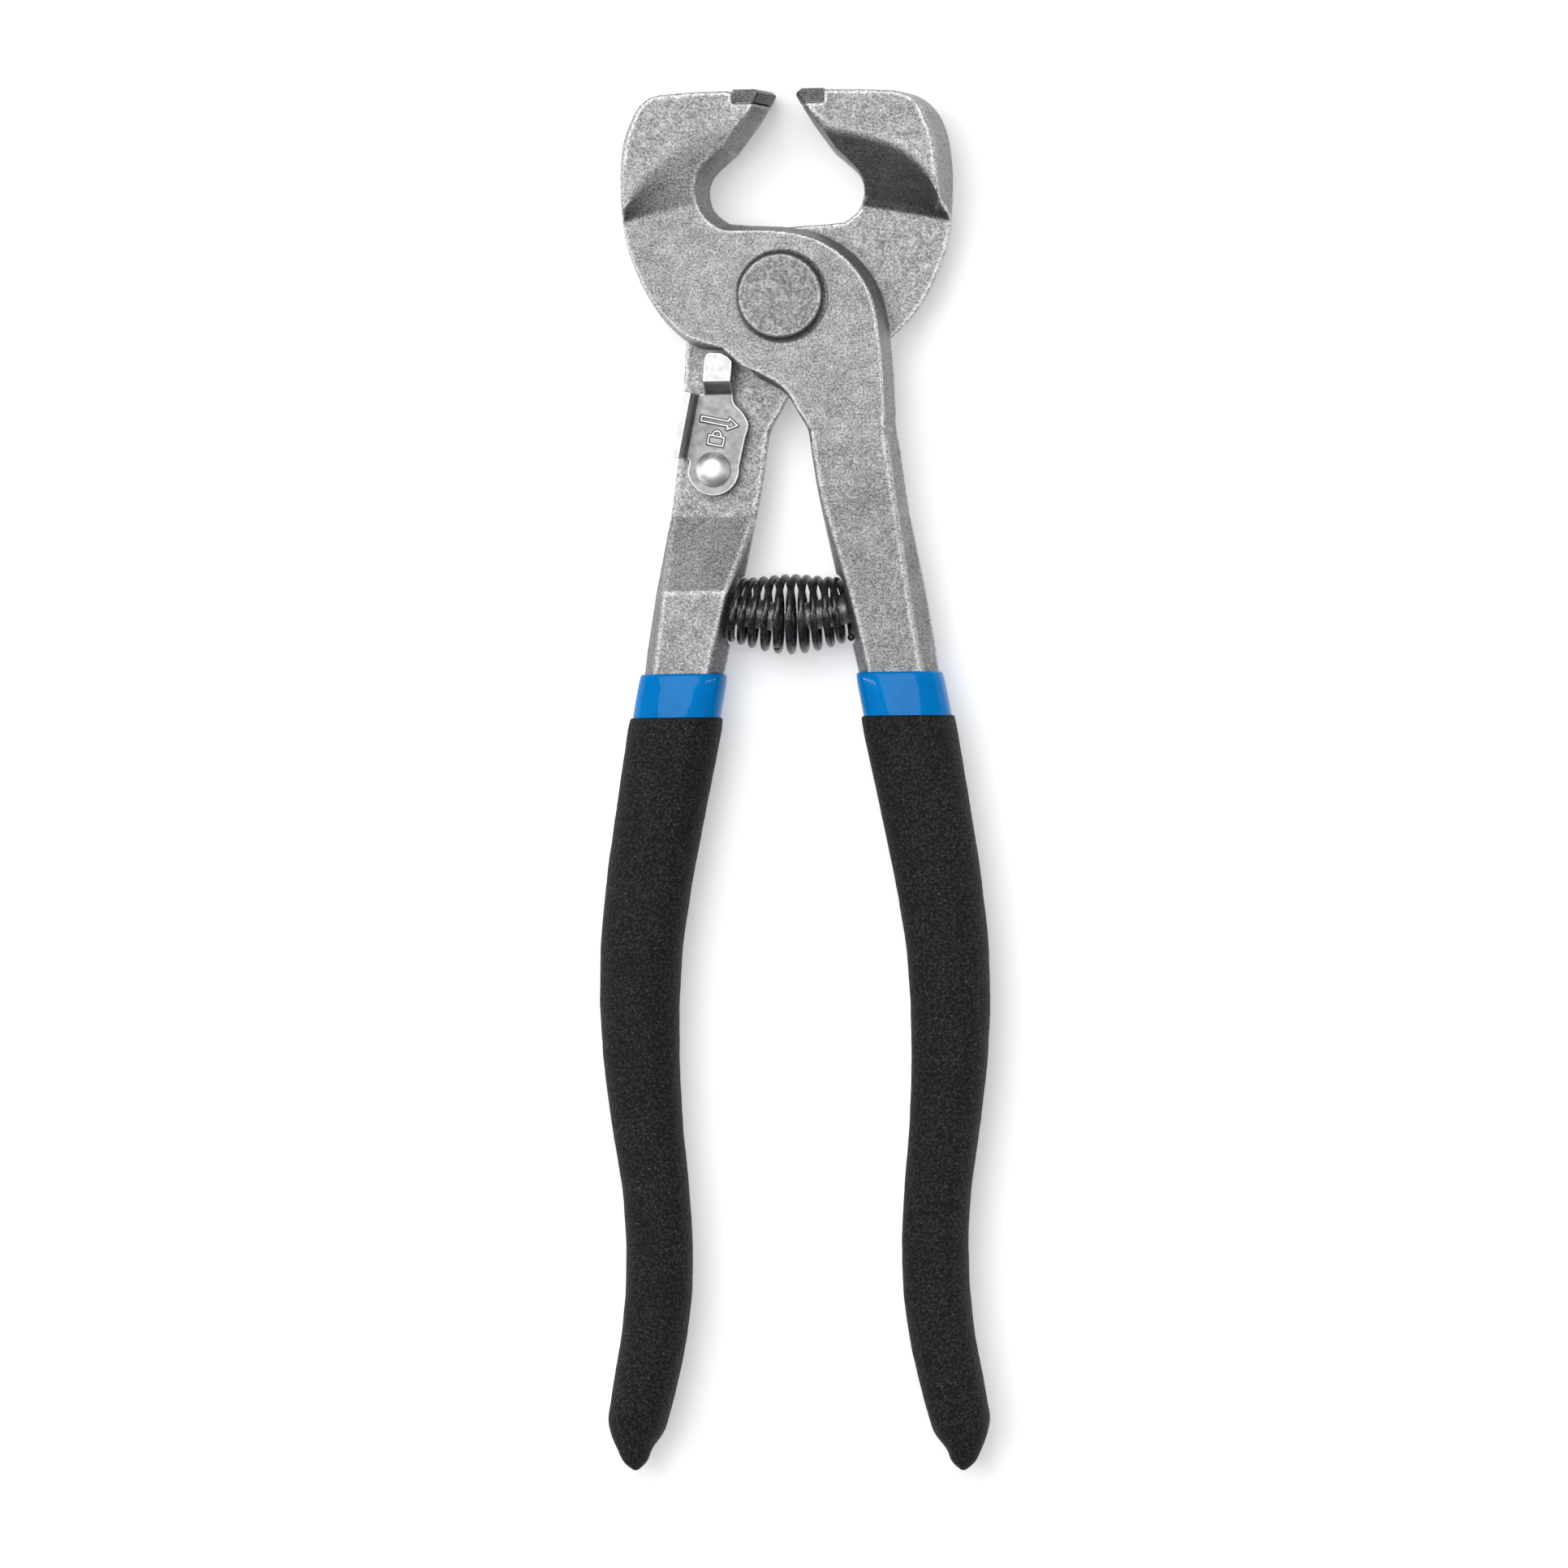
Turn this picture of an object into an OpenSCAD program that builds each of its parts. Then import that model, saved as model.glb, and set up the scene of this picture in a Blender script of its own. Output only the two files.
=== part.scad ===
// Tile nippers: two crossing forged halves on one rivet, a return spring between
// the handles, a sheet-steel lock lever and dipped grips.
// +Z is the side with the lock lever, +Y points to the jaws, the origin is on the
// rivet's axis in the plane where the two halves meet. Each half is drawn as the
// front one: its jaw on the left, its handle on the right. The rear half is the
// same forging turned half a turn about Y.

/* [Forging] */
// Half width of the head at the parting plane
head_w = 24.6; // [24:0.1:25.2]
// Half thickness of the jaws
jaw_half = 8.5; // [8.2:0.1:9]
// Front face of the plate above the meeting plane
plate_top = 6.7; // [6.4:0.1:7]
// Half of the gap between the two plates
plate_gap = 0.1; // [0.08:0.01:0.15]
// Inset of the plate's front edge that the draft leaves
draft = 1.05; // [0.7:0.05:1.2]
// Inset of the throat's front edge that the draft leaves
throat_draft = 1.35; // [1:0.05:1.5]
// Half thickness of the handles at the grips
handle_half = 4; // [3.6:0.1:4.2]

/* [Carbide] */
// Width of the carbide along the jaw, from its cutting edge
carbide_len = 5.2; // [4.5:0.1:5.6]
// Height of the carbide
carbide_h = 1.9; // [1.6:0.1:2.2]
// Thickness of the braze foil
foil = 0.12; // [0.08:0.01:0.15]

/* [Pivot rivet] */
// Shank radius
shank_r = 4; // [3.5:0.1:4.2]
// Radial clearance of the shank in both plates
shank_play = 0.05; // [0.02:0.01:0.08]
// Radius of the flat front face
rivet_face_r = 6.15; // [6:0.05:6.3]
// Radius of the head where it meets the plate
rivet_base_r = 6.9; // [6.7:0.05:7]
// Height of the head above the plate
rivet_head_h = 2.1; // [1.8:0.1:2.3]

/* [Lock lever] */
// Sheet thickness
sheet_t = 1.2; // [1:0.1:1.3]
// Height of the thumb ear above the sheet
ear_h = 5.2; // [4.5:0.1:5.6]
// Radius of the lock rivet's dome
lock_dome_r = 2.6; // [2.4:0.1:2.8]

/* [Return spring] */
// Wire diameter
wire_d = 1.05; // [1:0.05:1.2]
// Turns in all
turns = 10; // [9:0.5:10.5]
// Coil radius to the wire's centre, at the ends
coil_end_r = 4.3; // [4.2:0.05:4.5]
// Coil radius to the wire's centre, in the middle
coil_mid_r = 5.45; // [5.2:0.05:5.6]
// Distance from the rivet's axis to the spring's centre line
spring_y = 46.6; // [46.2:0.1:46.8]

/* [Grips] */
// Thickness of the vinyl layer over the steel
liner_t = 0.9; // [0.7:0.1:1]
// Thickness of the foam layer over the vinyl
foam_t = 1.3; // [1.1:0.1:1.4]

/* [Hidden] */
$fn = 64;

fit = 0.03;                     // play between layers that are bonded together
seat_angle = 10.9;              // where each handle's spring seat lies, from -Y
peg_r = 2.3;
peg_len = 6.6;
lock_at = [-11.1, -25.2];       // lock rivet's axis
lock_hole_r = 1.6;
carbide_edge = [-1.5, 29.8];    // cutting edge of the front half
jaw_top = 30.3;
bevel_draft = 1.1;

// --- curves -----------------------------------------------------------------
function curve_point(a, b, c, d, t) =
    0.5 * (2 * b + (c - a) * t + (2 * a - 5 * b + 4 * c - d) * t * t
           + (3 * b - a - 3 * c + d) * t * t * t);
// A smooth open curve through points, steps segments to each span.
function smooth(points, steps = 4) =
    let (last = len(points) - 1)
    concat([for (i = [0 : last - 1], k = [0 : steps - 1])
                curve_point(points[max(i - 1, 0)], points[i], points[i + 1],
                            points[min(i + 2, last)], k / steps)],
           [points[last]]);
function unit(v) = v / norm(v);
function left_of(v) = [-v[1], v[0]];
// Moves each point of a counter-clockwise outline inwards by its own distance.
function inset(outline, distances) =
    let (n = len(outline))
    [for (i = [0 : n - 1])
        outline[i] + distances[i]
            * left_of(unit(outline[(i + 1) % n] - outline[(i + n - 1) % n]))];
function repeat(value, count) = [for (i = [1 : count]) value];

// A closed solid through rings of points, each counter-clockwise about the path.
module loft(rings) {
    m = len(rings[0]);
    n = len(rings);
    polyhedron(
        points = [for (ring = rings) each ring],
        faces = concat(
            [[for (j = [0 : m - 1]) j]],
            [for (i = [0 : n - 2], j = [0 : m - 1], half = [0, 1])
                let (k = (j + 1) % m)
                half == 0 ? [i * m + j, (i + 1) * m + j, (i + 1) * m + k]
                          : [i * m + j, (i + 1) * m + k, i * m + k]],
            [[for (j = [0 : m - 1]) n * m - 1 - j]]));
}

// --- the forging's head -------------------------------------------------------
head_top_left = [[-7.6, 30.3], [-13.5, 30.15], [-18.9, 29.6], [-22.1, 27.4], [-23.9, 23.8],
                 [-head_w, 18.8], [-24.5, 13], [-23.9, 8.2], [-22.6, 4.2], [-20.8, 0.4],
                 [-18.2, -3.4], [-14.8, -6.5], [-12.2, -7.5]];
lock_notch = [[-8.9, -7.5], [-6.1, -10.1]];
crotch = [[-4.3, -11.9], [-2.6, -12.75], [-0.9, -13.8], [0.4, -15.2], [1.5, -17.2],
          [3.4, -20.3]];
shoulder = [[16, -20.3], [15.8, -13.5], [15.3, -6.6], [14.4, -0.9], [12.4, 3.4],
            [9.2, 6.9], [5, 9.3], [0.3, 10.4], [-4.8, 10.7]];
throat = [[-8.4, 11], [-10.2, 12.3], [-11.2, 14], [-11.5, 15.8], [-10.9, 17.7],
          [-9.3, 19.3], [-7.3, 21]];
bevel = [[-4.1, 25.4], [-1.85, 29.1], [-2.3, 30.3]];

// The jaw's top edge has almost no draft; it grows round the outer corner.
function top_draft(y) = draft * min(max((jaw_top - y) / 4, 0.15), 1);
outline_runs = [[lock_notch, 0], [smooth(crotch), draft], [smooth(shoulder), draft],
                [smooth(throat), throat_draft], [bevel, bevel_draft]];
head_left = smooth(head_top_left);
head_outline = concat(head_left, [for (run = outline_runs) each run[0]]);
head_draft = concat([for (p = head_left) top_draft(p[1])],
                    [for (run = outline_runs) each repeat(run[1], len(run[0]))]);

// Height and share of the draft's inset; the last two round the jaw's edge.
head_levels = [[0, 0], [0.4, 0.38], [0.81, 0.87], [0.93, 1.05], [1, 1.35]];
function head_ring(side, level) =
    [for (p = inset(head_outline, level[1] * head_draft))
        [p[0], p[1], side * level[0] * jaw_half]];
module head_block() {
    loft(concat([for (i = [4 : -1 : 1]) head_ring(-1, head_levels[i])],
                [for (i = [0 : 4]) head_ring(1, head_levels[i])]));
}

// The plate under a jaw is stepped down from the jaw's side by a ramp. On the outer
// side the ramp starts on an arc, given by its centre and radius. On the inner side it
// starts on a line that falls evenly and then turns down. The foot is where it ends.
outer_arc = [-3.2, 3.3, 22.1];
function outer_top(x) =
    outer_arc[1] + sqrt(max(pow(outer_arc[2], 2) - pow(x - outer_arc[0], 2), 1));
function inner_top(x) =
    let (t = min(max((-3.6 - x) / 21.3, 0), 1.2)) 25.2 - 4.9 * t - 8.5 * pow(t, 6);
function outer_foot(x) = 13.6 + 0.23 * (x + 13.3);
function inner_foot(x) = 13.2 + 0.18 * (x + 13.4);
far = 70;
function outer_ramp_ring(x) =
    let (foot = outer_foot(x), top = max(outer_top(x), foot + 0.5),
         drop = jaw_half - plate_top)
    concat([[x, -far, plate_top], [x, foot, plate_top]],
           [for (t = [0.25 : 0.25 : 1])
               [x, foot + t * (top - foot), jaw_half - drop * pow(1 - t, 1.15)]],
           [[x, top, jaw_half + 5], [x, -far, jaw_half + 5]]);
function inner_ramp_ring(x) =
    let (foot = inner_foot(x), top = max(inner_top(x), foot + 0.5),
         run = top - foot)
    [[x, -far, -jaw_half - 5], [x, top + 0.6 * run, -jaw_half - 5],
     [x, top, -jaw_half], [x, foot + 0.13 * run, -0.1 * jaw_half],
     [x, foot + 0.05 * run, -0.04 * jaw_half], [x, foot - 0.02 * run, plate_gap],
     [x, -far, plate_gap]];
ramp_steps = [-30 : 2 : 32];
module outer_ramp_cut() { loft([for (x = ramp_steps) outer_ramp_ring(x)]); }
module inner_ramp_cut() { loft([for (x = ramp_steps) inner_ramp_ring(x)]); }

// --- the forging's handle ---------------------------------------------------
// Each station: centre x, y, half width, back z, front z, height of the widest line
// and the sides' slant.
tang_stations = [
    [9.1, -16, 6.4, plate_gap + 0.02, plate_top - 0.04, 0.4, 0.13],
    [9.75, -21.2, 6.6, plate_gap, plate_top - 0.02, 0.4, 0.14],
    [10.7, -27.9, 6.55, plate_gap, 6.3, 0.4, 0.16],
    [11.4, -32, 6.45, plate_gap, 5.9, 0.4, 0.19],
    [13.7, -43.3, 6.35, -handle_half, 5, 0, 0.36],
    [15.35, -51.8, 6.1, -handle_half, 4.4, 0, 0.42],
    [16.5, -58, 5.8, -handle_half, handle_half, 0, 0.42],
    [17.5, -63.7, 5.2, -handle_half, handle_half, 0, 0.4],
    [19.5, -74.5, 4.2, -3.7, 3.7, 0, 0.3],
    [21.45, -85.2, 3.9, -3.5, 3.5, 0, 0.3],
    [22.9, -97, 3.6, -3.4, 3.4, 0, 0.3],
    [23.1, -106, 3.4, -3.3, 3.3, 0, 0.3],
    [22.6, -117, 3.1, -3.2, 3.2, 0, 0.3],
    [21.4, -128, 2.8, -3, 3, 0, 0.3],
    [20.55, -139, 2.7, -3, 3, 0, 0.3],
    [20.8, -149, 2.7, -3, 3, 0, 0.3],
    [22.3, -158, 2.6, -3, 3, 0, 0.3],
    [23.9, -165, 2.4, -3, 3, 0, 0.3]];
function heading(stations, i) =
    let (a = stations[max(i - 1, 0)], b = stations[min(i + 1, len(stations) - 1)])
    unit([b[0] - a[0], b[1] - a[1]]);
// The steel's sections are level above the grip and square to the path inside it.
level_count = 6;
function tang_heading(i) = i < level_count ? [0, -1] : heading(tang_stations, i);
// Places a section's [sideways, z] points at a station, square to a direction. Widths
// are measured along X, so they shrink where the path leans.
function place(section, at, dir) =
    let (lean = abs(dir[1]))
    [for (p = section)
        [at[0] - p[0] * lean * dir[1], at[1] + p[0] * lean * dir[0], p[1]]];
// A six-sided section with a narrow land at its widest line and broken edges.
function hexagon(w, back, front, mid, slant) =
    let (top = w - slant * (front - mid), low = w - slant * (mid - back), e = 0.35)
    [[w, mid - 0.25], [w, mid + 0.25], [top, front - e], [top - e, front],
     [e - top, front], [-top, front - e], [-w, mid + 0.25], [-w, mid - 0.25],
     [-low, back + e], [e - low, back], [low - e, back], [low, back + e]];
module tang() {
    loft([for (i = [0 : len(tang_stations) - 1])
        let (s = tang_stations[i])
        place(hexagon(s[2], s[3], s[4], s[5], s[6]), s, tang_heading(i))]);
}

module at_spring_seat() {
    rotate([0, 0, seat_angle]) translate([0, -spring_y, 0]) rotate([0, 90, 0])
        children();
}
// resize() to nothing keeps the size and makes the drafted body one mesh, so that
// only the bores are cut from it as true cylinders.
module drafted_body() {
    resize([0, 0, 0]) difference() {
        union() {
            difference() {
                head_block();
                outer_ramp_cut();
                inner_ramp_cut();
            }
            difference() {
                tang();
                at_spring_seat() translate([0, 0, -4]) cylinder(r = 5.2, h = 4, $fn = 32);
            }
            at_spring_seat() translate([0, 0, -peg_len])
                cylinder(r1 = peg_r - 0.2, r2 = peg_r, h = peg_len + 1, $fn = 24);
        }
        carbide_notch();
    }
}
module half_forging() {
    difference() {
        drafted_body();
        translate([0, 0, -1]) cylinder(r = shank_r + shank_play, h = plate_top + 2);
    }
}
module carbide_notch() {
    translate([carbide_edge[0] - carbide_len - foil, jaw_top - carbide_h - foil,
               -jaw_half - 1])
        cube([carbide_len + 4, carbide_h + 2, 2 * jaw_half + 2]);
}
module turn_over() { rotate([0, 180, 0]) children(); }

module front_half() { color("#9a9c9e") half_forging(); }
module rear_half() {
    color("#8c8e91") difference() {
        turn_over() half_forging();
        translate([lock_at[0], lock_at[1], -plate_top - 1])
            cylinder(r = lock_hole_r, h = plate_top + 2);
    }
}

// --- carbides -----------------------------------------------------------------
// Share of the carbide's half width, and the set-back there of its inner end, which
// is ground flush with the drafted bevel under it.
carbide_levels = [[0, 0], [0.4, 0.47], [0.79, 1.05], [0.95, 1.3], [1, 1.55]];
function carbide_ring(side, level) =
    let (back = carbide_edge[0] - carbide_len, low = jaw_top - carbide_h,
         tip = carbide_edge[0] - level[1], z = side * level[0] * (jaw_half - 0.25))
    [[back, low, z], [tip - 0.75, low, z], [tip, carbide_edge[1], z],
     [tip - 0.6, jaw_top, z], [back, jaw_top, z]];
module carbide() {
    loft(concat([for (i = [4 : -1 : 1]) carbide_ring(-1, carbide_levels[i])],
                [for (i = [0 : 4]) carbide_ring(1, carbide_levels[i])]));
}
module braze() {
    back = carbide_edge[0] - carbide_len;
    low = jaw_top - carbide_h;
    linear_extrude(2 * jaw_half - 1.2, center = true)
        polygon([[back - foil, jaw_top - 0.3], [back - foil, low - foil],
                 [back + carbide_len - 2.5, low - foil], [back + carbide_len - 2.5, low],
                 [back, low], [back, jaw_top - 0.3]]);
}
module front_carbide() { color("#6d6f72") carbide(); }
module rear_carbide() { color("#6d6f72") turn_over() carbide(); }
module front_braze() { color("#b59a5c") braze(); }
module rear_braze() { color("#b59a5c") turn_over() braze(); }

// --- pivot rivet ----------------------------------------------------------------
module pivot_rivet() {
    top = plate_top + 0.05;
    color("#a3a5a7") rotate_extrude()
        polygon([[0, -top - 1.5], [5.6, -top - 1.5], [6.3, -top - 1], [6.5, -top],
                 [shank_r, -top], [shank_r, top], [rivet_base_r, top],
                 [rivet_base_r, top + 0.35], [rivet_face_r + 0.25, top + 0.9],
                 [rivet_face_r + 0.15, top + rivet_head_h - 0.3],
                 [rivet_face_r - 0.2, top + rivet_head_h], [0, top + rivet_head_h]]);
}

// --- lock lever -------------------------------------------------------------------
sheet_z = plate_gap + 0.7;      // underside of the lever, on its washer
pawl_z = 3.1;                   // underside of the raised pawl
lever_foot_r = 3.85;
ear_top = [-13, -14.1];         // ends of the line that the ear is bent along
ear_foot = [-14.95, -23.7];
ear_len = norm(ear_top - ear_foot);
ear_turn = -atan((ear_top[0] - ear_foot[0]) / (ear_top[1] - ear_foot[1]));
ear_lean = 0.7;
lever_body = concat(
    [for (a = [186 : 12 : 366]) lock_at + lever_foot_r * [cos(a), sin(a)]],
    smooth([[-6.3, -20.5], [-5.8, -18.6], [-6.6, -16.9], [-7.9, -15.4], [-8.1, -13.9]]),
    [[-12.2, -13.9], ear_top]);
pawl_outline = [[-8.1, -12.3], [-7.9, -10.6], [-7.8, -9.4], [-8.4, -8.7], [-9.4, -8.15],
                [-11.2, -8.02], [-11.7, -8.4], [-11.9, -9], [-12.2, -12.3]];
module lock_lever() {
    color("#c9cbcd") difference() {
        union() {
            translate([0, 0, sheet_z]) linear_extrude(sheet_t) polygon(lever_body);
            translate([0, 0, pawl_z]) linear_extrude(sheet_t) polygon(pawl_outline);
            // riser between the sheet and the raised pawl
            translate([0, -12.3, 0]) rotate([90, 0, -90]) translate([0, 0, 8.1])
                linear_extrude(4.1)
                    polygon([[1.7, sheet_z], [1.8, sheet_z + sheet_t],
                             [0, pawl_z + sheet_t], [-0.2, pawl_z]]);
            // thumb ear, turned up along the left edge and leaning out
            translate([ear_foot[0], ear_foot[1], sheet_z]) rotate([0, 0, ear_turn])
                rotate([90, 0, 180]) linear_extrude(ear_len) polygon(
                    [[-1, 0], [0.5, 0], [sheet_t, 0.7], [sheet_t + ear_lean, ear_h],
                     [ear_lean, ear_h], [0.15, sheet_t], [-1, sheet_t]]);
        }
        translate([lock_at[0], lock_at[1], 0]) cylinder(r = lock_hole_r + 0.05, h = 4);
    }
}
module lock_washer() {
    color("#8f9294") translate([lock_at[0], lock_at[1], plate_gap - 0.15])
        difference() {
            cylinder(r = 3, h = 0.8);
            translate([0, 0, -1]) cylinder(r = lock_hole_r + 0.05, h = 3);
        }
}
module lock_rivet() {
    top = sheet_z + sheet_t + 0.05;
    color("#e3e5e7") translate([lock_at[0], lock_at[1], 0]) rotate_extrude()
        polygon(concat(
            [[0, -plate_top - 0.9], [2.2, -plate_top - 0.9], [2.6, -plate_top - 0.05],
             [lock_hole_r - fit, -plate_top - 0.05], [lock_hole_r - fit, top],
             [lock_dome_r, top]],
            [for (a = [0 : 10 : 80])
                [lock_dome_r * cos(a), top + 0.25 + 1.35 * sin(a)]],
            [[0, top + 1.6]]));
}

// --- return spring ------------------------------------------------------------------
// A barrel spring whose centre line bends round the rivet's axis. Its end coils are
// close together and are the ones on the pegs.
spring_half_angle = seat_angle - 0.85;
coil_steps = 16;
wire_sides = 8;
end_turns = 1.5;
end_share = 0.12;               // share of the length that each end's close coils take
function spring_share(turn) =
    let (t = turn / turns, e = end_turns / turns)
    t < e ? end_share * t / e
          : t > 1 - e ? 1 - end_share * (1 - t) / e
                      : end_share + (1 - 2 * end_share) * (t - e) / (1 - 2 * e);
function coil_r(share) =
    coil_end_r + (coil_mid_r - coil_end_r) * pow(max(sin(180 * share), 0), 1.3);
function coil_centre(turn) =
    let (share = spring_share(turn), r = coil_r(share),
         a = spring_half_angle * (2 * share - 1), turn_angle = 360 * turn,
         out = spring_y + r * cos(turn_angle))
    [out * sin(a), -out * cos(a), r * sin(turn_angle)];
function wire_ring(turn) =
    let (step = 0.01, ahead = coil_centre(turn + step) - coil_centre(turn - step),
         dir = ahead / norm(ahead), side = unit(cross(dir, coil_centre(turn))),
         up = cross(dir, side))
    [for (j = [0 : wire_sides - 1])
        let (a = 360 * j / wire_sides)
        coil_centre(turn) + wire_d / 2 * (cos(a) * side + sin(a) * up)];
module return_spring() {
    color("#1c1c1e")
        loft([for (i = [0 : turns * coil_steps]) wire_ring(i / coil_steps)]);
}

// --- grips ------------------------------------------------------------------------
// Each station: centre x, y, half width and half height of the foam's outside.
grip_path = [[17.25, -62], [17.5, -63.5], [19.55, -74.5], [21.45, -85.2], [22.75, -95],
             [23.15, -104], [22.9, -113], [22.1, -122], [20.95, -131.5], [20.5, -139],
             [20.65, -146.2], [21.5, -153.4], [23, -160.6], [24.2, -166]];
grip_w = [6.9, 7, 6.7, 6.4, 6.1, 5.9, 5.6, 5.2, 4.9, 4.9, 4.95, 4.85, 4.75, 4.4];
grip_nub = [[24.5, -168.3, 3.35], [24.5, -169.6, 2.5], [24.4, -171, 2.05],
            [24.4, -172.1, 1.3], [24.4, -172.6, 0.4]];
function superellipse(w, h, power, count) =
    [for (j = [0 : count - 1])
        let (a = 360 * j / count, c = cos(a), s = sin(a))
        [w * sign(c) * pow(abs(c), power), h * sign(s) * pow(abs(s), power)]];
grip_sides = 20;
grip_stations = concat(
    [for (i = [0 : len(grip_path) - 1])
        [grip_path[i][0], grip_path[i][1], grip_w[i],
         min(5.7, grip_w[i] * 0.6 + 2.1)]],
    [for (n = grip_nub) [n[0], n[1], n[2], n[2] * 0.95]]);
// The stations shrunk by a layer's thickness. The first ones are level, so the mouth is
// level too; the others are square to the path. The last power holds for the rest.
function grip_rings(stations, less, powers, level) =
    [for (i = [0 : len(stations) - 1])
        let (s = stations[i], power = powers[min(i, len(powers) - 1)])
        place(superellipse(s[2] - less, s[3] - less, power, grip_sides), s,
              i < level ? [0, -1] : heading(stations, i))];
body_count = len(grip_path);
// Outside of the vinyl: the collar, then the tube under the foam.
collar = [[16.05, -55.4, 6.3, 4.9], [16.15, -56, 6.5, 5.1], [17.15, -61.4, 6.55, 5.2]];
collar_powers = [0.72, 0.72, 0.8, 0.85];
vinyl_stations = concat(collar,
    [for (i = [1 : body_count - 1])
        let (s = grip_stations[i], thin = i == 1 ? 0.6 : foam_t)
        [s[0], s[1] - 0.6, s[2] - thin, s[3] - thin]]);
module vinyl_outside(less = 0) { loft(grip_rings(vinyl_stations, less, collar_powers, 4)); }
module grip_liner() {
    difference() {
        vinyl_outside();
        tang_core();
    }
}
// The steel's space in the vinyl.
module tang_core() {
    loft([for (i = [5 : len(tang_stations) - 1])
        let (s = tang_stations[i])
        place(hexagon(s[2] + fit, s[3] - fit, s[4] + fit, s[5], s[6]), s,
              tang_heading(i))]);
}
module grip() {
    difference() {
        loft(grip_rings(grip_stations, 0, [0.85], 2));
        vinyl_outside(-fit);
    }
}
module right_grip_liner() { color("#0068b8") grip_liner(); }
module left_grip_liner() { color("#0068b8") turn_over() grip_liner(); }
module right_grip() { color("#1d1d1f") grip(); }
module left_grip() { color("#1d1d1f") turn_over() grip(); }

front_half();
rear_half();
front_carbide();
rear_carbide();
front_braze();
rear_braze();
pivot_rivet();
lock_lever();
lock_rivet();
lock_washer();
return_spring();
left_grip_liner();
right_grip_liner();
left_grip();
right_grip();
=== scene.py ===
"""Looks of the tile nippers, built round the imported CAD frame. All lengths are in metres."""
import math

import bmesh
import bpy
import numpy as np
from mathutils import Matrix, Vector, noise
from mathutils.bvhtree import BVHTree


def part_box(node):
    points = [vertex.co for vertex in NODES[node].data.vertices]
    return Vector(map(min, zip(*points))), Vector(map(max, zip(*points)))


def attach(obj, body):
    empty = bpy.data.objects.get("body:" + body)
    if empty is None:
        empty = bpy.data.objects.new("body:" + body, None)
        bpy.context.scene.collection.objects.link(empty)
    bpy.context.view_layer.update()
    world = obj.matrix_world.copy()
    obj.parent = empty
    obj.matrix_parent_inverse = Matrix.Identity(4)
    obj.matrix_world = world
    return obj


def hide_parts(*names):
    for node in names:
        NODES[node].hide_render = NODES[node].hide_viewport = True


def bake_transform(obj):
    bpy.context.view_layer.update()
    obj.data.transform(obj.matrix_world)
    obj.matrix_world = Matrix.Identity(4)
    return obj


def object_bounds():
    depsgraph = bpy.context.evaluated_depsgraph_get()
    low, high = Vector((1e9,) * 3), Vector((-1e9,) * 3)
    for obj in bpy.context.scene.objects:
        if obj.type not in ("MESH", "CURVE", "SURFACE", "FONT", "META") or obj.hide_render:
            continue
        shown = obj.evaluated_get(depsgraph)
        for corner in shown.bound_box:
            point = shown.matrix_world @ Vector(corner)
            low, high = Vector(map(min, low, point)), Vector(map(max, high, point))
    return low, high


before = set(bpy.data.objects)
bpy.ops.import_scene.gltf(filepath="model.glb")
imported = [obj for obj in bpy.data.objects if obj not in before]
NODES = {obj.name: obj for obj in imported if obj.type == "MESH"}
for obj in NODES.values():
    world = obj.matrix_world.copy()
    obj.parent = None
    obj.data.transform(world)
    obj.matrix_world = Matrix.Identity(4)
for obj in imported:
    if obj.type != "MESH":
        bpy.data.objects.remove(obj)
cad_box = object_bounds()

MM = 0.001
HALFWAY = 0.5                      # a point's step towards the middle of its neighbours
SOFT_ROUNDS = 60                   # extra smoothing where a forging is soft
WORN_DEPTH = 0.16                  # how far a worn edge stands proud, in voxels


# --- camera ------------------------------------------------------------------
VIEW_LEAN = math.radians(8.5)      # the camera stands this far to the tool's right
VIEW_ROLL = math.radians(0.55)
VIEW_DISTANCE = 1.6
VIEW_FIELD = 231 * MM              # width of the floor that the picture shows
VIEW_CENTRE = Vector((-1.3, -71.6, 0)) * MM
SENSOR = 36


def make_camera():
    out = Vector((math.sin(VIEW_LEAN), 0, math.cos(VIEW_LEAN)))
    level = Vector((math.cos(VIEW_LEAN), 0, -math.sin(VIEW_LEAN)))
    ahead = Vector((0, 1, 0))
    right = math.cos(VIEW_ROLL) * level - math.sin(VIEW_ROLL) * ahead
    up = math.sin(VIEW_ROLL) * level + math.cos(VIEW_ROLL) * ahead
    data = bpy.data.cameras.new("camera")
    data.sensor_width = SENSOR
    data.lens = SENSOR * VIEW_DISTANCE / VIEW_FIELD
    data.clip_start = 0.01
    camera = bpy.data.objects.new("camera", data)
    bpy.context.scene.collection.objects.link(camera)
    place = camera.matrix_world.copy()
    for axis, vector in enumerate((right, up, out)):
        place.col[axis].xyz = vector
    place.translation = VIEW_CENTRE + VIEW_DISTANCE * out
    camera.matrix_world = place
    bpy.context.scene.camera = camera


# --- mesh helpers --------------------------------------------------------------
def add_piece(name, mesh, body, material, replaces):
    """Links a mesh as a visible piece of one body and gives it its finish."""
    obj = bpy.data.objects.new(name, mesh)
    bpy.context.scene.collection.objects.link(obj)
    mesh.materials.clear()
    mesh.materials.append(material)
    mesh.polygons.foreach_set("use_smooth", [True] * len(mesh.polygons))
    if body:
        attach(obj, body)
    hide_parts(*replaces)
    return obj


def mesh_from(name, points, faces):
    mesh = bpy.data.meshes.new(name)
    mesh.from_pydata([tuple(p) for p in points], [], faces)
    mesh.update()
    return mesh


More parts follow.
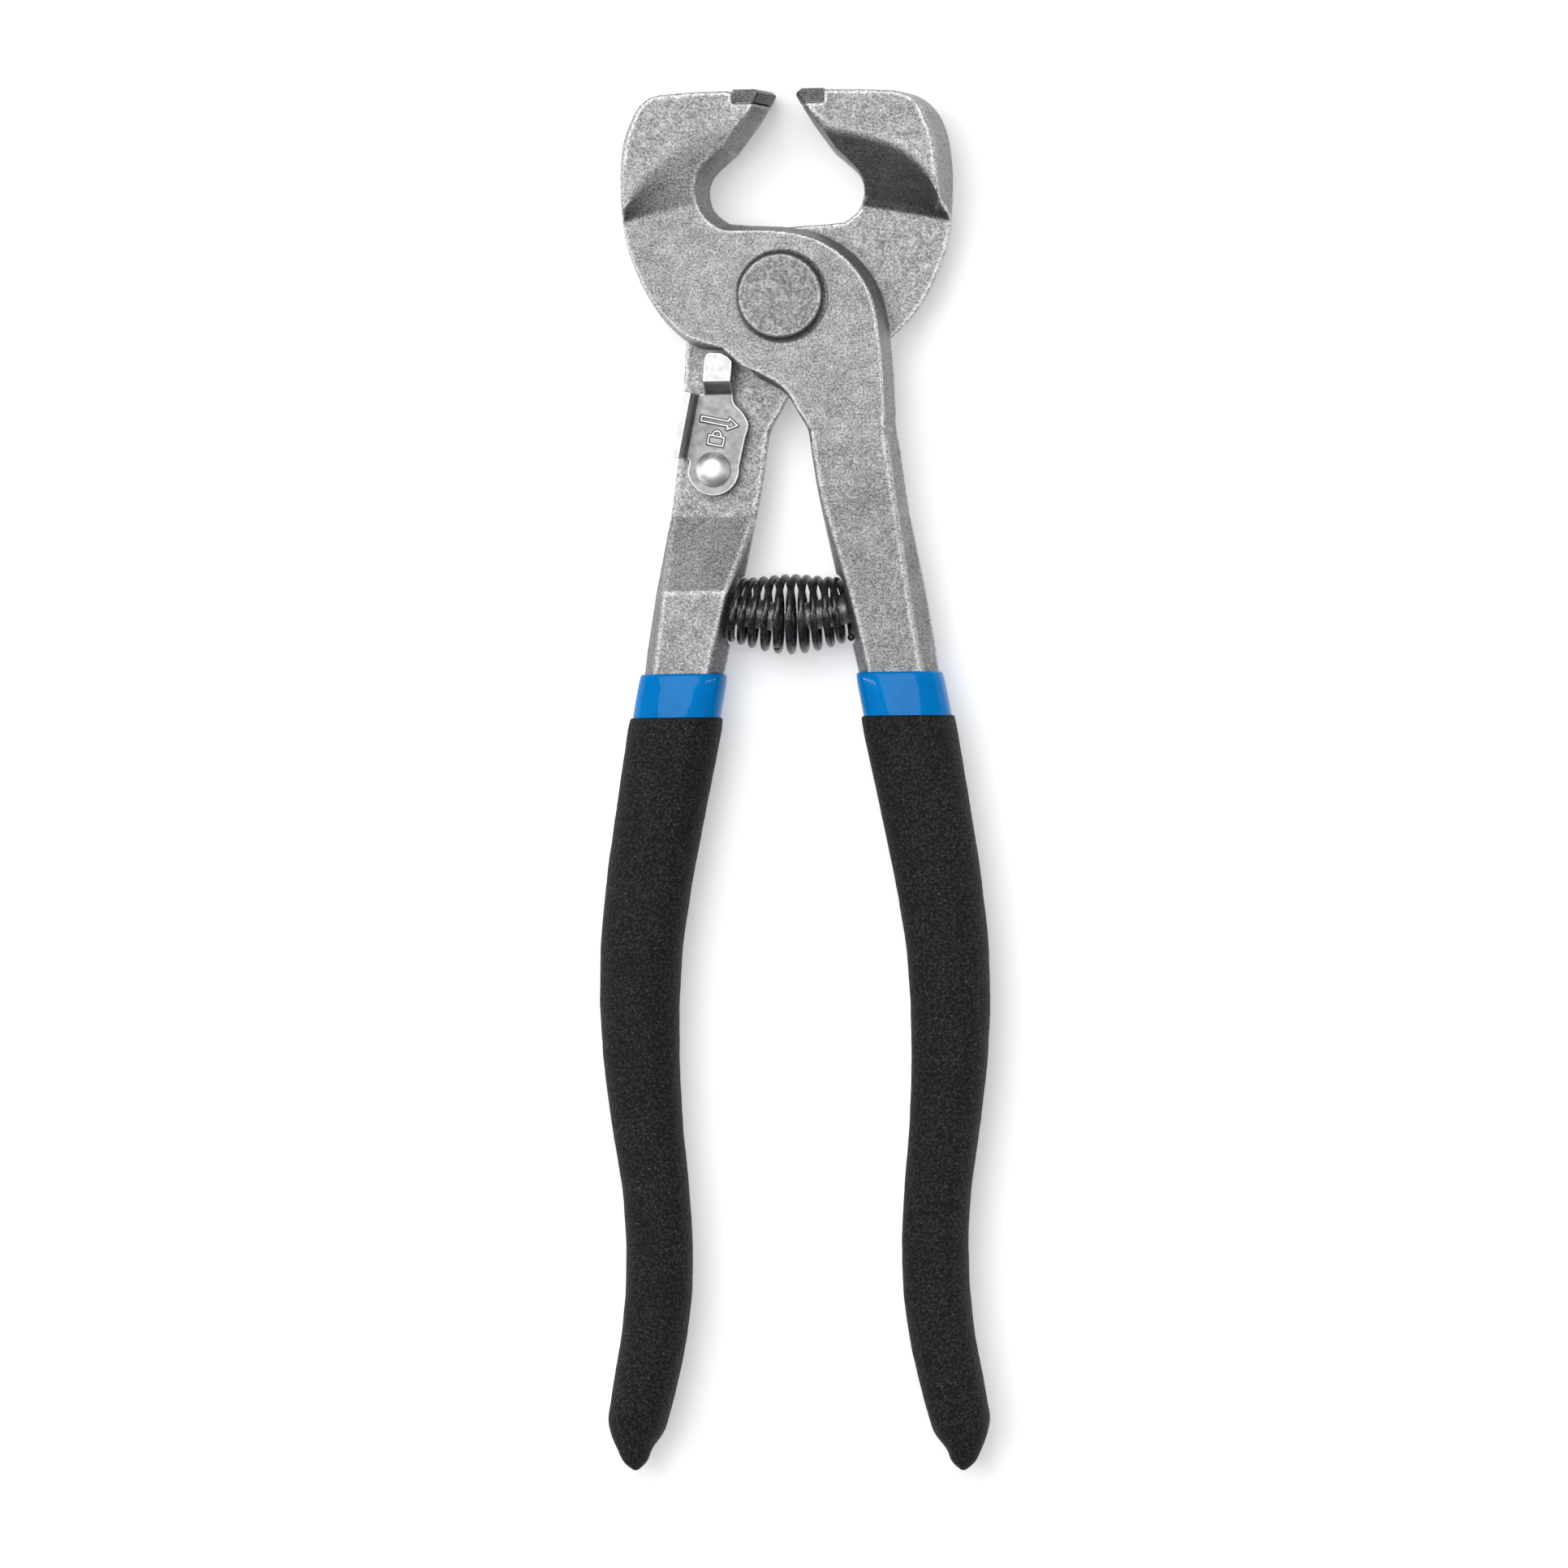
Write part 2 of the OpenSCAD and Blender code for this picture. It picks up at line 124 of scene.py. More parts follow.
def ring_faces(rings, sides):
    """Faces of a closed tube of rings whose points run counter-clockwise about the path."""
    faces = []
    for i in range(rings - 1):
        for j in range(sides):
            k = (j + 1) % sides
            faces.append((i * sides + j, i * sides + k, (i + 1) * sides + k, (i + 1) * sides + j))
    faces.append(tuple(range(sides - 1, -1, -1)))
    faces.append(tuple((rings - 1) * sides + j for j in range(sides)))
    return faces


def lathe(name, profile, centre=(0, 0), sides=128):
    """A turned solid about Z. profile runs (radius, z) from the bottom axis to the top."""
    turn = np.linspace(0, 2 * math.pi, sides, endpoint=False)
    points = [(centre[0] + r * math.cos(a), centre[1] + r * math.sin(a), z)
              for r, z in profile for a in turn]
    return mesh_from(name, points, ring_faces(len(profile), sides))


def arc(centre, radius, start, end, steps):
    """Points (across, up) on an arc; angles in degrees."""
    return [(centre[0] + radius * math.cos(math.radians(a)),
             centre[1] + radius * math.sin(math.radians(a)))
            for a in np.linspace(start, end, steps)]


def read_points(mesh):
    co = np.empty(len(mesh.vertices) * 3)
    mesh.vertices.foreach_get("co", co)
    return co.reshape(-1, 3)


def write_points(mesh, co):
    mesh.vertices.foreach_set("co", co.ravel())
    mesh.update()


def read_normals(mesh):
    normals = np.empty(len(mesh.vertices) * 3)
    mesh.vertices.foreach_get("normal", normals)
    return normals.reshape(-1, 3)


def read_edges(mesh):
    ends = np.empty(len(mesh.edges) * 2, dtype=np.int64)
    mesh.edges.foreach_get("vertices", ends)
    return ends.reshape(-1, 2)


def averaged(co, edges, steps):
    """Moves every point a share of the way to the middle of its neighbours, for each step.

    A step is one share for all points or a column with a share for each.
    """
    count = len(co)
    a, b = edges.T
    degree = np.maximum(np.bincount(edges.ravel(), minlength=count), 1)[:, None]
    for step in steps:
        total = np.stack([np.bincount(a, co[b, k], count) + np.bincount(b, co[a, k], count)
                          for k in range(3)], axis=1)
        co = co + step * (total / degree - co)
    return co


def soften(mesh, share, rounds):
    """Smooths only the points whose share, a number from 0 to 1 for each point, is above 0."""
    co, edges = read_points(mesh), read_edges(mesh)
    edges = edges[(share[edges] > 0).any(axis=1)]
    used, local = np.unique(edges, return_inverse=True)
    weight = HALFWAY * share[used][:, None]
    co[used] = averaged(co[used], local.reshape(-1, 2), [weight] * rounds)
    write_points(mesh, co)


def relax(mesh, rounds, outward=-0.52):
    """Rounds the edges and takes out ripples, and keeps the size (Taubin smoothing)."""
    steps = [HALFWAY, outward] * rounds
    write_points(mesh, averaged(read_points(mesh), read_edges(mesh), steps))


def mark_wear(mesh, depth, rounds=4):
    """Writes the point attribute "wear", which material nodes read.

    It is 0 on flat stretches and 1 on convex edges that stand depth proud of the surface
    that some rounds of smoothing leave.
    """
    co = read_points(mesh)
    smooth = averaged(co, read_edges(mesh), [HALFWAY] * rounds)
    proud = ((co - smooth) * read_normals(mesh)).sum(1)
    wear = np.clip(proud / depth, 0, 1).astype(np.float32)
    mesh.attributes.new("wear", "FLOAT", "POINT").data.foreach_set("value", wear)


def voxel_mesh(name, sources, voxel, rounds, share_of=None):
    """One watertight, evenly divided mesh round the source meshes, with soft edges.

    share_of gives the share of extra softening from the points and their normals.
    """
    build = bmesh.new()
    for source in sources:
        build.from_mesh(source)
    bmesh.ops.remove_doubles(build, verts=build.verts, dist=1e-7)
    joined = bpy.data.meshes.new(name + "_raw")
    build.to_mesh(joined)
    build.free()
    holder = bpy.data.objects.new(name + "_raw", joined)
    bpy.context.scene.collection.objects.link(holder)
    remesh = holder.modifiers.new("voxels", "REMESH")
    remesh.mode = "VOXEL"
    remesh.voxel_size = voxel
    remesh.adaptivity = 0
    graph = bpy.context.evaluated_depsgraph_get()
    mesh = bpy.data.meshes.new_from_object(holder.evaluated_get(graph))
    mesh.name = name
    bpy.data.objects.remove(holder)
    bpy.data.meshes.remove(joined)
    relax(mesh, rounds)
    if share_of:
        soften(mesh, share_of(read_points(mesh), read_normals(mesh)), SOFT_ROUNDS)
    mark_wear(mesh, WORN_DEPTH * voxel)
    return mesh


# --- material helpers -------------------------------------------------------------
class Finish:
    """A node material with one Principled shader and object coordinates."""

    def __init__(self, name, **inputs):
        self.material = bpy.data.materials.new(name)
        self.material.use_nodes = True
        self.tree = self.material.node_tree
        self.shader = self.tree.nodes["Principled BSDF"]
        for key, value in inputs.items():
            self.shader.inputs[key.replace("_", " ")].default_value = value
        self.place = self.tree.nodes.new("ShaderNodeTexCoord").outputs["Object"]

    def join(self, output, target):
        self.tree.links.new(output, target)

    def noise(self, size, detail=3, rough=0.55):
        """Noise whose features are about size metres across."""
        node = self.tree.nodes.new("ShaderNodeTexNoise")
        node.inputs["Scale"].default_value = 1 / size
        node.inputs["Detail"].default_value = detail
        node.inputs["Roughness"].default_value = rough
        self.join(self.place, node.inputs["Vector"])
        return node.outputs["Fac"]

    def cells(self, size):
        node = self.tree.nodes.new("ShaderNodeTexVoronoi")
        node.inputs["Scale"].default_value = 1 / size
        self.join(self.place, node.inputs["Vector"])
        return node.outputs["Distance"]

    def spread(self, value, low, high, to_low, to_high):
        node = self.tree.nodes.new("ShaderNodeMapRange")
        for key, number in (("From Min", low), ("From Max", high), ("To Min", to_low),
                            ("To Max", to_high)):
            node.inputs[key].default_value = number
        self.join(value, node.inputs["Value"])
        return node.outputs["Result"]

    def maths(self, kind, a, b):
        node = self.tree.nodes.new("ShaderNodeMath")
        node.operation = kind
        for value, socket in ((a, node.inputs[0]), (b, node.inputs[1])):
            if isinstance(value, (int, float)):
                socket.default_value = value
            else:
                self.join(value, socket)
        return node.outputs[0]

    def mix(self, share, first, second):
        node = self.tree.nodes.new("ShaderNodeMix")
        node.data_type = "RGBA"
        self.join(share, node.inputs["Factor"])
        for colour, socket in ((first, node.inputs[6]), (second, node.inputs[7])):
            if isinstance(colour, tuple):
                socket.default_value = (*colour, 1)
            else:
                self.join(colour, socket)
        return node.outputs[2]

    def wear(self):
        """0 on flat stretches, 1 on worn convex edges."""
        node = self.tree.nodes.new("ShaderNodeAttribute")
        node.attribute_name = "wear"
        return node.outputs["Fac"]

    def height(self, low, high):
        """0 below low and 1 above high, in metres along Z."""
        split = self.tree.nodes.new("ShaderNodeSeparateXYZ")
        self.join(self.place, split.inputs[0])
        return self.spread(split.outputs["Z"], low, high, 0, 1)

    def bump(self, *layers):
        """layers are (height output, depth in metres)."""
        before = None
        for height, depth in layers:
            node = self.tree.nodes.new("ShaderNodeBump")
            node.inputs["Strength"].default_value = 1
            node.inputs["Distance"].default_value = depth
            self.join(height, node.inputs["Height"])
            if before is not None:
                self.join(before, node.inputs["Normal"])
            before = node.outputs["Normal"]
        self.join(before, self.shader.inputs["Normal"])

    def colour(self, output):
        self.join(output, self.shader.inputs["Base Color"])

    def roughness(self, output):
        self.join(output, self.shader.inputs["Roughness"])


def forged_steel(name="forged_steel", tone=1.0, grain=0.29 * MM, grain_depth=0.042 * MM):
    """Blasted forging: even grey, fine grain, soft mottling, lighter worn edges."""
    finish = Finish(name, Metallic=1.0)
    mottle = finish.spread(finish.noise(5 * MM, 4), 0.35, 0.68, 0, 1)
    speck = finish.spread(finish.noise(grain, 2), 0.36, 0.66, 0, 1)
    dark = tuple(tone * v for v in (0.11, 0.1105, 0.111))
    pale = tuple(tone * v for v in (0.38, 0.381, 0.383))
    share = finish.maths("ADD", finish.maths("MULTIPLY", mottle, 0.2),
                         finish.maths("MULTIPLY", speck, 0.8))
    body = finish.mix(share, dark, pale)
    worn = finish.maths("MULTIPLY", finish.wear(), finish.spread(speck, 0.1, 0.7, 0.35, 1))
    finish.colour(finish.mix(worn, body, (0.8, 0.8, 0.802)))
    finish.roughness(finish.spread(finish.noise(1.2 * MM), 0.3, 0.7, 0.44, 0.58))
    finish.bump((finish.noise(2.6 * MM, 2), 0.05 * MM), (finish.noise(grain, 2), grain_depth))
    return finish.material


def carbide():
    finish = Finish("carbide", Metallic=0.85)
    grain = finish.spread(finish.noise(0.16 * MM, 3, 0.7), 0.38, 0.64, 0, 1)
    finish.colour(finish.mix(grain, (0.035, 0.0355, 0.036), (0.19, 0.191, 0.193)))
    finish.roughness(finish.spread(grain, 0, 1, 0.5, 0.34))
    finish.bump((grain, 0.02 * MM))
    return finish.material


def braze():
    finish = Finish("braze", Metallic=1.0)
    flow = finish.spread(finish.noise(0.5 * MM), 0.35, 0.65, 0, 1)
    finish.colour(finish.mix(flow, (0.22, 0.205, 0.17), (0.36, 0.34, 0.29)))
    finish.roughness(finish.spread(flow, 0, 1, 0.5, 0.35))
    finish.bump((flow, 0.02 * MM))
    return finish.material


def plated_steel():
    """Zinc-plated sheet: satin with faint rolling marks, a painted highlight on its raised parts,
    and bright on its worn edges, where it is handled.
    """
    finish = Finish("plated_steel", Metallic=1.0)
    tone = finish.spread(finish.noise(2.2 * MM, 4), 0.32, 0.68, 0, 1)
    body = finish.mix(tone, (0.19, 0.191, 0.193), (0.28, 0.281, 0.283))
    # painted highlight: the sheet is lighter above 3.6 to 4.1 mm, on its raised parts
    raised = finish.mix(finish.height(3.6 * MM, 4.1 * MM), body, (0.45, 0.45, 0.45))
    finish.colour(finish.mix(finish.wear(), raised, (0.85, 0.85, 0.85)))
    finish.roughness(finish.spread(finish.noise(0.8 * MM), 0.3, 0.7, 0.42, 0.54))
    finish.bump((finish.noise(0.45 * MM, 2), 0.012 * MM))
    return finish.material


def bright_steel():
    finish = Finish("bright_steel", Metallic=1.0)
    smear = finish.spread(finish.noise(1.1 * MM, 4), 0.3, 0.66, 0, 1)
    finish.colour(finish.mix(smear, (0.8, 0.8, 0.8), (0.93, 0.93, 0.93)))
    finish.roughness(finish.spread(smear, 0, 1, 0.58, 0.44))
    finish.bump((finish.noise(0.9 * MM, 2), 0.03 * MM))
    return finish.material


def spring_steel():
    """Black oxide wire, oiled, with drawn streaks."""
    finish = Finish("spring_steel", Metallic=0.9)
    tone = finish.spread(finish.noise(0.9 * MM, 4), 0.32, 0.66, 0, 1)
    finish.colour(finish.mix(tone, (0.03, 0.03, 0.031), (0.1, 0.1, 0.102)))
    finish.roughness(finish.spread(tone, 0, 1, 0.2, 0.34))
    finish.bump((finish.noise(0.2 * MM, 2), 0.01 * MM))
    return finish.material


def blue_vinyl():
    finish = Finish("blue_vinyl", IOR=1.45, Specular_IOR_Level=0.12)
    tone = finish.spread(finish.noise(4 * MM, 3), 0.3, 0.7, 0, 1)
    finish.colour(finish.mix(tone, (0.0, 0.165, 0.5), (0.0, 0.2, 0.58)))
    finish.roughness(finish.spread(finish.noise(0.7 * MM), 0.3, 0.7, 0.07, 0.13))
    finish.bump((finish.noise(1.8 * MM, 2), 0.03 * MM))
    return finish.material


def black_foam():
    """Dipped foam: matt black with a fine pebbled skin, painted shade in the hollows between its
    pebbles, and a few pale flecks.
    """
    finish = Finish("black_foam", IOR=1.45, Specular_IOR_Level=0.3)
    pebble = finish.cells(0.44 * MM)
    crest = finish.spread(pebble, 0.1, 0.6, 1, 0)
    fine = finish.noise(0.22 * MM, 3, 0.65)
    fleck = finish.spread(finish.noise(0.33 * MM, 1), 0.66, 0.78, 0, 1)
    tone = finish.spread(finish.noise(6 * MM, 4), 0.3, 0.7, 0, 1)
    # painted shade: the hollows between the pebbles are much darker than their crests
    painted_shade_hollow = finish.mix(tone, (0.002, 0.0018, 0.0018), (0.0035, 0.0032, 0.0032))
    raised = finish.mix(tone, (0.026, 0.025, 0.025), (0.042, 0.0405, 0.0405))
    body = finish.mix(crest, painted_shade_hollow, raised)
    finish.colour(finish.mix(fleck, body, (0.11, 0.11, 0.11)))
    finish.roughness(finish.spread(fine, 0.3, 0.7, 0.62, 0.82))
    finish.bump((finish.noise(1.1 * MM, 2), 0.04 * MM), (pebble, -0.13 * MM),
                (fine, 0.06 * MM))
    return finish.material


MATERIALS = {
    "forged_steel": forged_steel(),
    "rivet_steel": forged_steel("rivet_steel", 0.8, 0.36 * MM, 0.045 * MM),
    "carbide": carbide(), "braze": braze(), "plated_steel": plated_steel(),
    "bright_steel": bright_steel(), "spring_steel": spring_steel(),
    "blue_vinyl": blue_vinyl(), "black_foam": black_foam()}


# --- forgings ---------------------------------------------------------------------
# All numbers of this section but the voxel are in millimetres, on the front half.
FORGING_VOXEL = 0.23 * MM
RAMP_ARC = (-3.2, 3.3, 22.1)       # outer ramp's top edge: centre x, centre y, radius
RAMP_TOP = (-3.6, 21.3, 25.2)      # inner ramp's top edge: start x, length along x, start y
RAMP_FOOT = (-13.4, 14.2, 0.18)    # inner ramp's foot: a point x, y on it and its slope
HANDLE_CORNERS = ((3, -19.7), (16, -20))   # where the handle's sides leave the head


def unit(values):
    return np.clip(values, 0, 1)


def ramp_top(x):
    """Height y of the inner ramp's top edge, which falls off towards the jaw's outside."""
    start, length, level = RAMP_TOP
    t = np.clip((start - x) / length, 0, 1.2)
    return level - 4.9 * t - 8.5 * t ** 6


def soft_share(side):
    """Where a half is forged much softer than its edges: its ramps and where the handle starts.

    side is 1 for the front half and -1 for the rear one, which is turned over.
    """
    def share(points, normals):
        x, y, z = (points / MM * (side, 1, side)).T
        up = side * normals[:, 2]
        facing_down = unit((-up - 0.35) / 0.2)
        arc_x, arc_y, arc_r = RAMP_ARC
        off_arc = np.abs(np.hypot(x - arc_x, y - arc_y) - arc_r)
        outer = unit(1.6 - off_arc / 2.2) * unit(z - 6.6)
        outer *= unit((up - 0.8) / 0.12) * unit(y / 2 - 5)
        top = ramp_top(x)
        inner = unit(1.4 - np.abs(y - top) / 1.3) * unit(-z - 5.5)
        inner *= facing_down * unit(-x / 2 - 1.5) * 0.5
        foot_x, foot_y, slope = RAMP_FOOT
        face = unit(np.minimum(y - foot_y - slope * (x - foot_x), top - y))
        face *= facing_down * unit((0.97 + up) / 0.05)
        # the handle grows out of the head without a step on either side
        off_corner = np.minimum(*(np.hypot(x - cx, y - cy) for cx, cy in HANDLE_CORNERS))
        grown = 0.35 * unit(1.4 - off_corner / 2) * unit((0.9 - np.abs(up)) / 0.2)
        return np.maximum.reduce([outer, inner, face, grown])
    return share


def make_forgings():
    """The CAD halves with the soft edges of a blasted forging."""
    for half, side in (("front_half", 1), ("rear_half", -1)):
        mesh = voxel_mesh(half + "_forging", [NODES[half].data], FORGING_VOXEL, 8,
                          soft_share(side))
        add_piece(half + "_forging", mesh, half,
                  MATERIALS["forged_steel"], [half])


# --- small CAD nodes that keep their shape ---------------------------------------------
def finish_node(node, slot, bevel):
    """Keeps a CAD node, breaks its edges and gives it its material."""
    obj = NODES[node]
    obj.data.materials.clear()
    obj.data.materials.append(MATERIALS[slot])
    edge = obj.modifiers.new("broken_edges", "BEVEL")
    edge.width = bevel
    edge.segments = 3
    edge.limit_method = "ANGLE"
    edge.angle_limit = math.radians(25)
    edge.harden_normals = True


# --- rivets -------------------------------------------------------------------------
RIVET_VOXEL = 0.13 * MM


def make_pivot_rivet():
    """Flat-faced rivet: a rolled flare at the plate, a soft face edge, a shallow rear head."""
    low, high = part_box("pivot_rivet")
    base_r = high.x
    plate = high.z - 2.1 * MM
    face_r = 6.15 * MM
    edge = 0.35 * MM
    shank = 4 * MM
    profile = [(0.01 * MM, low.z), (5.2 * MM, low.z)]
    profile += arc((5.55 * MM, low.z + 0.35 * MM), 0.35 * MM, -90, -20, 6)
    profile += [(6.35 * MM, -plate - 0.25 * MM), (6.4 * MM, -plate), (shank, -plate),
                (shank, plate), (base_r, plate)]
    profile += arc((base_r - 0.2 * MM, plate + 0.25 * MM), 0.2 * MM, 0, 75, 5)
    profile += [(face_r + 0.3 * MM, plate + 0.62 * MM), (face_r + 0.12 * MM, plate + 0.9 * MM)]
    profile += arc((face_r - edge, high.z - edge), edge, 8, 90, 8)
    profile += [(r * face_r, high.z - 0.05 * MM * (1 - r)) for r in (0.8, 0.6, 0.4, 0.2, 0.002)]
    turned = lathe("pivot_rivet_lathe", profile)
    mesh = voxel_mesh("pivot_rivet_turned", [turned], RIVET_VOXEL, 3)
    add_piece("pivot_rivet_turned", mesh, "pivot_rivet",
              MATERIALS["rivet_steel"], ["pivot_rivet"])


def lock_centre():
    low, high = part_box("lock_washer")
    return ((low.x + high.x) / 2, (low.y + high.y) / 2)


def make_lock_rivet():
    """Domed rivet, slightly flattened on top where it was struck."""
    low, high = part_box("lock_rivet")
    radius = (high.x - low.x) / 2
    seat = high.z - 1.6 * MM
    rear = low.z + 0.85 * MM
    shank = 1.57 * MM
    rim = 0.3 * MM
    dome = [(radius * t, seat + rim + (high.z - seat - rim) * (1 - t ** 3.4))
            for t in (1, 0.985, 0.96, 0.92, 0.86, 0.78, 0.68, 0.56, 0.42, 0.26, 0.1, 0.01)]
    profile = [(0.01 * MM, low.z), (1.9 * MM, low.z + 0.02 * MM)]
    profile += arc((2.1 * MM, low.z + 0.4 * MM), 0.4 * MM, -90, 0, 6)
    profile += [(2.6 * MM, rear), (shank, rear), (shank, seat), (radius - 0.1 * MM, seat)]
    profile += dome
    turned = lathe("lock_rivet_lathe", profile, lock_centre(), 96)
    mesh = voxel_mesh("lock_rivet_domed", [turned], 0.5 * RIVET_VOXEL, 3)
    add_piece("lock_rivet_domed", mesh, "rear_half",
              MATERIALS["bright_steel"], ["lock_rivet"])


# --- lock lever -----------------------------------------------------------------------
LEVER_VOXEL = 0.085 * MM
LEVER_SHEET = 1.2 * MM
MARK_WIDTH = 0.25 * MM


def ridge(points, width, low, high):
    """A closed raised line of a given width through (x, y) points, as boxes that overlap."""
    build = bmesh.new()
    for a, b in zip(points, points[1:]):
        a, b = Vector(a), Vector(b)
        along = (b - a).normalized() * width / 2
        side = Vector((-along.y, along.x))
        corners = [a - along - side, b + along - side, b + along + side, a - along + side]
        rings = [build.verts.new((c.x, c.y, z)) for z in (low, high) for c in corners]
        build.faces.new(rings[3::-1])
        build.faces.new(rings[4:])
        for i in range(4):
            k = (i + 1) % 4
            build.faces.new((rings[i], rings[k], rings[4 + k], rings[4 + i]))
    mesh = bpy.data.meshes.new("ridge")
    build.to_mesh(mesh)
    build.free()
    return mesh


def lever_marks(top):
    """A raised outline arrow that points to the locked side, and a plain padlock."""
    cx, cy = lock_centre()
    tilt = math.radians(-12)

    def put(points):
        return [(cx + MM * (x * math.cos(tilt) - y * math.sin(tilt)),
                 cy + MM * (x * math.sin(tilt) + y * math.cos(tilt))) for x, y in points]

    arrow = [(-3.2, 7.4), (0.9, 7.4), (0.9, 7.9), (2.3, 7.05), (0.9, 6.2), (0.9, 6.7),
             (-3.2, 6.7), (-3.2, 7.4)]
    body = [(-1.6, 3.6), (0.7, 3.6), (0.7, 4.9), (-1.6, 4.9), (-1.6, 3.6)]
    shackle = [(-0.45 + 0.65 * math.cos(math.radians(a)), 4.95 + 0.75 * math.sin(math.radians(a)))
               for a in range(0, 181, 30)]
    low, high = top - 0.3 * MM, top + 0.2 * MM
    return [ridge(put(line), MARK_WIDTH, low, high) for line in (arrow, body, shackle)]


def make_lock_lever():
    """The bent sheet with rolled edges and its raised marks."""
    marks = lever_marks(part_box("lock_lever")[0].z + LEVER_SHEET)
    mesh = voxel_mesh("lock_lever_bent", [NODES["lock_lever"].data] + marks, LEVER_VOXEL, 4)
    add_piece("lock_lever_bent", mesh, "lock_lever",
              MATERIALS["plated_steel"], ["lock_lever"])


# --- return spring -----------------------------------------------------------------------
WIRE_R = 0.525 * MM
TURNS = 10
CLOSE_TURNS = 1.6                  # turns at each end that touch and don't move
CLOSE_SHARE = 0.13                 # their part of the spring's length
END_R, MID_R = 4.3 * MM, 5.42 * MM
SPRING_ARC_R = 46.6 * MM
SPRING_SPAN = math.radians(10.05)
STEPS_A_TURN = 48
WIRE_SIDES = 16
FIXED_SHARE = 0.4                  # share of the spring in its rear length


def spring_share(turn):
    t, e = turn / TURNS, CLOSE_TURNS / TURNS
    if t < e:
        return CLOSE_SHARE * t / e
    if t > 1 - e:
        return 1 - CLOSE_SHARE * (1 - t) / e
    middle = (t - e) / (1 - 2 * e)
    return CLOSE_SHARE + (1 - 2 * CLOSE_SHARE) * middle


def spring_point(turn):
    """Wire centre: a barrel coil whose centre line bends round the pivot rivet."""
    share = spring_share(turn)
    radius = END_R + (MID_R - END_R) * max(math.sin(math.pi * share), 0) ** 1.3
    a = SPRING_SPAN * (2 * share - 1)
    around = 2 * math.pi * turn
    out = SPRING_ARC_R + radius * math.cos(around)
    return Vector((out * math.sin(a), -out * math.cos(a), radius * math.sin(around)))


def spring_mesh(name, first, last):
    """The wire from one turn to another, with its share of the spring for each ring."""
    count = round((last - first) * STEPS_A_TURN) + 1
    points, shares = [], []
    for turn in np.linspace(first, last, count):
        step = 0.5 / STEPS_A_TURN
        ahead = (spring_point(turn + step) - spring_point(turn - step)).normalized()
        side = ahead.cross(spring_point(turn)).normalized()
        up = ahead.cross(side)
        for a in np.linspace(0, 2 * math.pi, WIRE_SIDES, endpoint=False):
            points.append(spring_point(turn) + WIRE_R * (math.cos(a) * side + math.sin(a) * up))
            shares.append(spring_share(turn))
    return mesh_from(name, points, ring_faces(count, WIRE_SIDES)), np.array(shares)


def set_bend(piece, a, b, weights):
    """Bakes the piece's placement into its points.

    The bodies a and b and the weights are not used.
    """
    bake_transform(piece)


def make_spring():
    """Two lengths of one wire, a rear one and a front one."""
    split = next(t for t in np.arange(0, TURNS, 1 / STEPS_A_TURN)
                 if spring_share(t) >= FIXED_SHARE)
    share_split = spring_share(split)
    for name, first, last, bodies in (
            ("return_spring_rear", 0, split, ("rear_half", "pivot_rivet")),
            ("return_spring_front", split, TURNS, ("pivot_rivet", "front_half"))):
        mesh, shares = spring_mesh(name, first, last)
        still = CLOSE_SHARE * 0.5
        low, high = (still, share_split) if first == 0 else (share_split, 1 - still)
        weights = np.clip((shares - low) / (high - low), 0, 1)
        piece = add_piece(name, mesh, None, MATERIALS["spring_steel"],
                          ["return_spring"])
        set_bend(piece, *bodies, weights)


# --- grips ------------------------------------------------------------------------------
GRIP_SIDES = 72
SAMPLE_STEP = 0.5 * MM             # between the rings of a sleeve
REACH = 14 * MM                    # rays towards a sleeve's centre line start this far out
LEVEL_RUN = 9 * MM                 # length below the mouth over which the planes turn level


def smoothed(values, width):
    """Running average along the first axis, with the ends carried on; width in samples."""
    kernel = np.hanning(2 * width + 3)[1:-1]
    kernel /= kernel.sum()
    padded = np.concatenate([2 * values[:1] - values[width:0:-1], values,
                             2 * values[-1:] - values[-2:-width - 2:-1]])
    return sum(k * padded[i:i + len(values)] for i, k in enumerate(kernel))


def centre_line(tree, low, high):
    """Middle of a sleeve at even steps along Y, from rays along X in the plane z = 0."""
    rows = []
    for y in np.arange(low.y + 0.02 * MM, high.y - 0.02 * MM, SAMPLE_STEP):
        left = tree.ray_cast(Vector((-1, y, 1e-5)), Vector((1, 0, 0)))[0]
        right = tree.ray_cast(Vector((1, y, 1e-5)), Vector((-1, 0, 0)))[0]
        if left is not None and right is not None:
            rows.append(((left.x + right.x) / 2, y))
    return np.array(rows)


def measure_sleeve(node):
    """Outer radii of a CAD sleeve in planes square to its centre line, or level at the mouth.

    Returns the centre points, the sideways directions and a row of radii for each.
    """
    mesh = NODES[node].data
    tree = BVHTree.FromPolygons([v.co for v in mesh.vertices],
                                [p.vertices for p in mesh.polygons])
    low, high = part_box(node)
    line = smoothed(centre_line(tree, low, high), 6)
    ahead = np.gradient(line, axis=0)
    ahead /= np.linalg.norm(ahead, axis=1)[:, None]
    level = np.clip(1 - (high.y - line[:, 1]) / LEVEL_RUN, 0, 1)[:, None]
    level = level * level * (3 - 2 * level)
    ahead = (1 - level) * ahead + level * np.array([0, 1])
    ahead /= np.linalg.norm(ahead, axis=1)[:, None]
    turn = np.linspace(0, 2 * math.pi, GRIP_SIDES, endpoint=False)
    kept, radii = [], []
    for i, (x, y) in enumerate(line):
        centre = Vector((x, y, 0))
        side = Vector((-ahead[i][1], ahead[i][0], 0))
        row = []
        for a in turn:
            out = math.cos(a) * side + math.sin(a) * Vector((0, 0, 1))
            hit = tree.ray_cast(centre + REACH * out, -out, REACH * 0.98)[0]
            if hit is None:
                break
            row.append((hit - centre).length)
        if len(row) == GRIP_SIDES:
            kept.append(i)
            radii.append(row)
    return line[kept], ahead[kept], np.array(radii)


